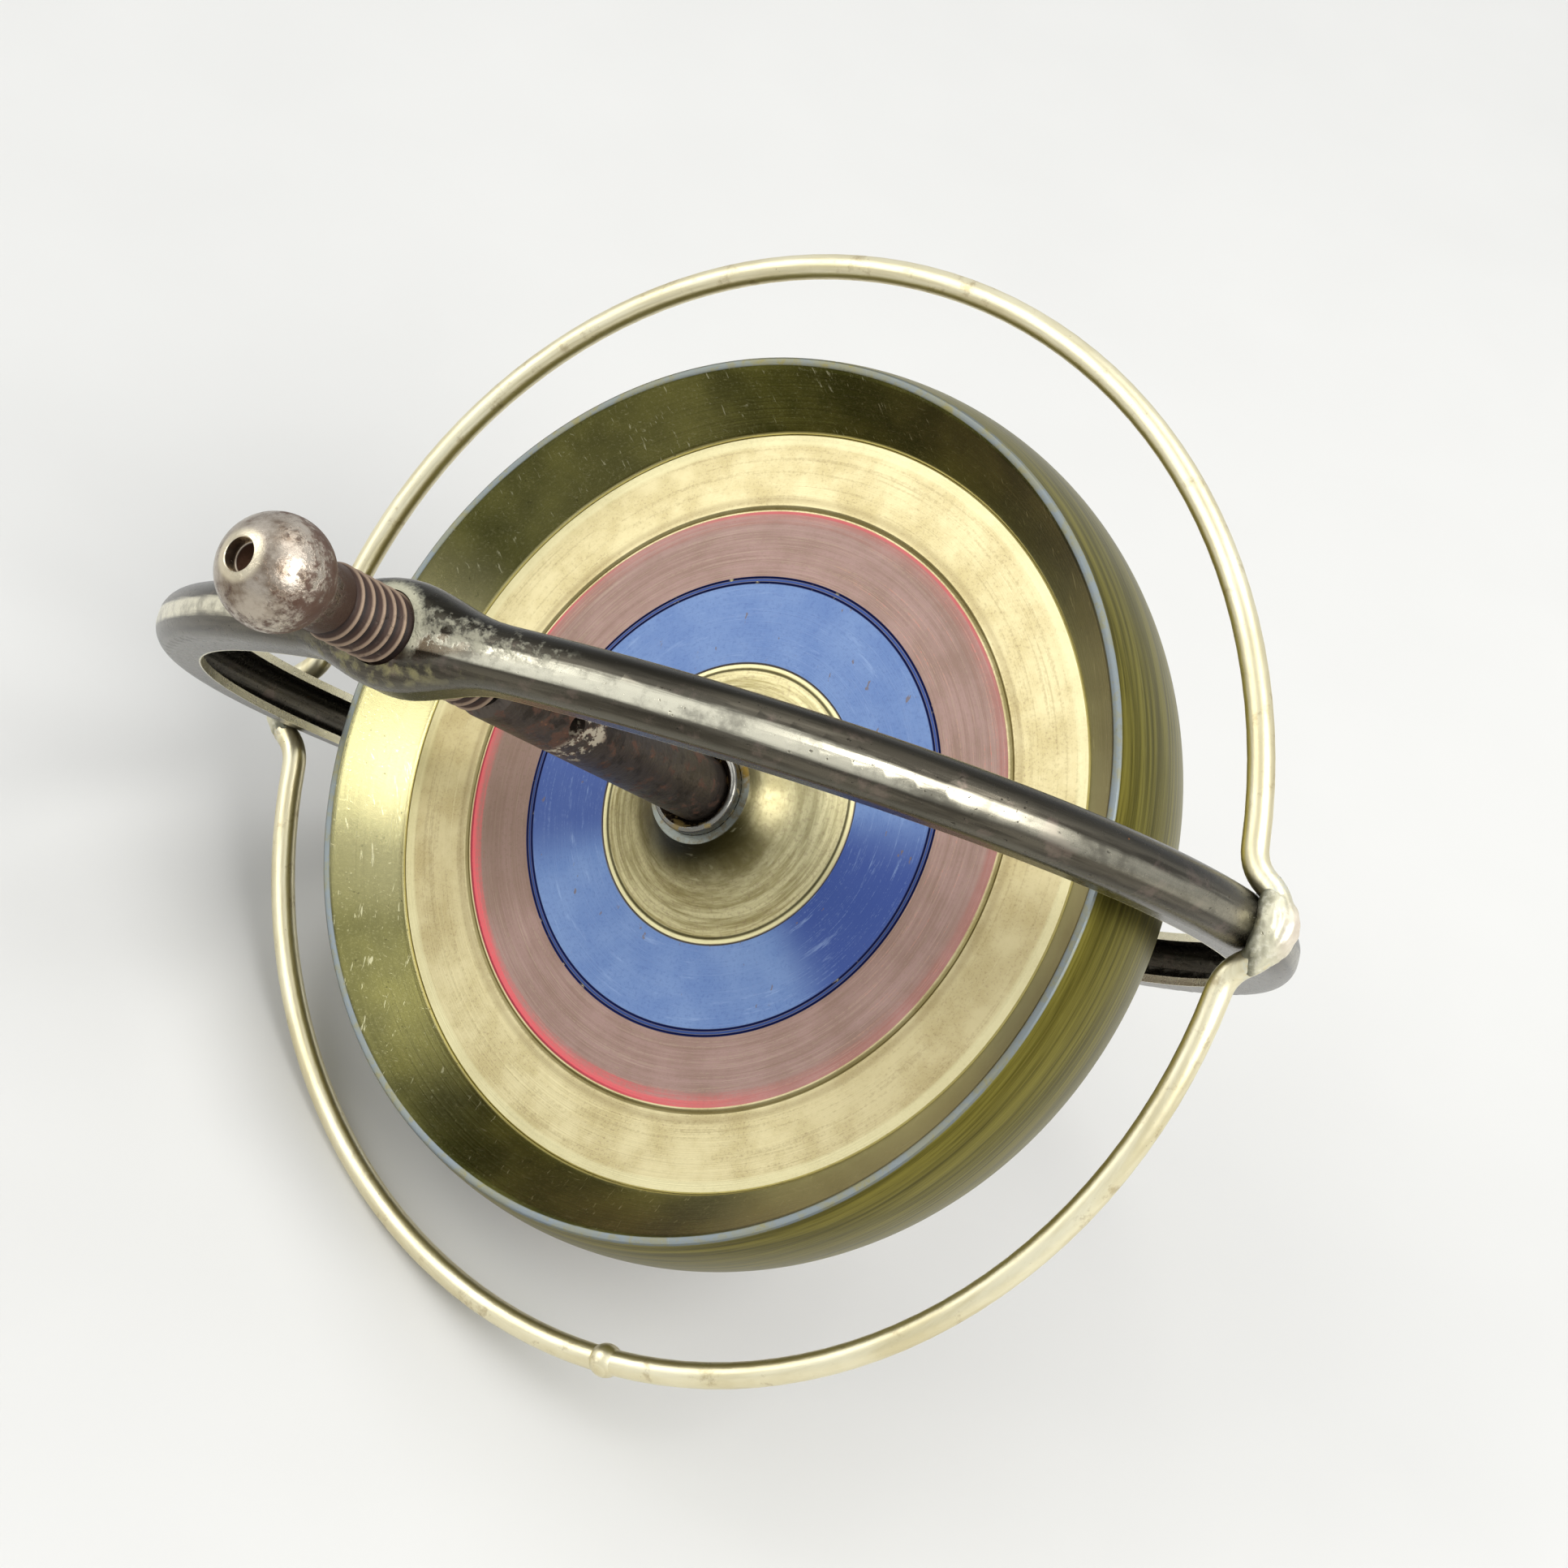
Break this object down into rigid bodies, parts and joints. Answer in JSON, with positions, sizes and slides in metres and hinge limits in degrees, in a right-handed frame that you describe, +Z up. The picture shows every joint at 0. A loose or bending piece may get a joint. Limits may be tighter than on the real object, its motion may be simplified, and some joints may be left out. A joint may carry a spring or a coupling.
{
  "type": "toy gyroscope",
  "caption": "Toy gyroscope: a heavy brass wheel on a spindle, inside a channel-section frame ring crossed by a round wire hoop, with a ball screw and a ball foot.",
  "frame": {"origin": "on the table, at the centre of the bottom of the object's box", "axes": "+Z up from the table. The gyroscope lies on its ball foot, its wire hoop and its frame ring. Its spindle leans in the YZ plane, with the adjusting screw up and towards -Y."},
  "size_m": [0.067, 0.068, 0.0567],
  "materials": {
    "nickelled_strip": "dull nickel plate on steel, corroded near the screw",
    "nickelled_wire": "bright nickel plate on wire, yellowed",
    "solder": "grey soft solder with a pale crust",
    "bush_brass": "dull brass",
    "screw_steel": "turned steel with brown rust",
    "wheel_brass": "turned brass, darkened to olive",
    "painted_disc": "pressed brass with worn painted rings",
    "hub_steel": "dull steel tube",
    "spindle_steel": "darkened steel with rust"
  },
  "bodies": {
    "frame": {"frame_ring": "nickelled_strip", "wire_hoop": "nickelled_wire", "solder_joint_right": "solder", "solder_joint_left": "solder", "upper_bush": "bush_brass", "lower_bush": "bush_brass", "ball_foot": "screw_steel"},
    "rotor": {"wheel_rim": "wheel_brass", "front_disc": "painted_disc", "rear_disc": "painted_disc", "hub_bush": "hub_steel", "spindle": "spindle_steel"},
    "screw": {"adjusting_screw": "screw_steel"}
  },
  "joints": [
    {"name": "rotor_spin", "type": "hinge", "parent": "frame", "child": "rotor", "pos_m": [0, 0.00152, 0.02712], "axis": [0, -0.7731, 0.6343], "continuous": true},
    {"name": "screw_travel", "type": "slide", "parent": "frame", "child": "screw", "axis": [0, -0.7731, 0.6343], "range_m": [-0.0002, 0.005]}
  ]
}
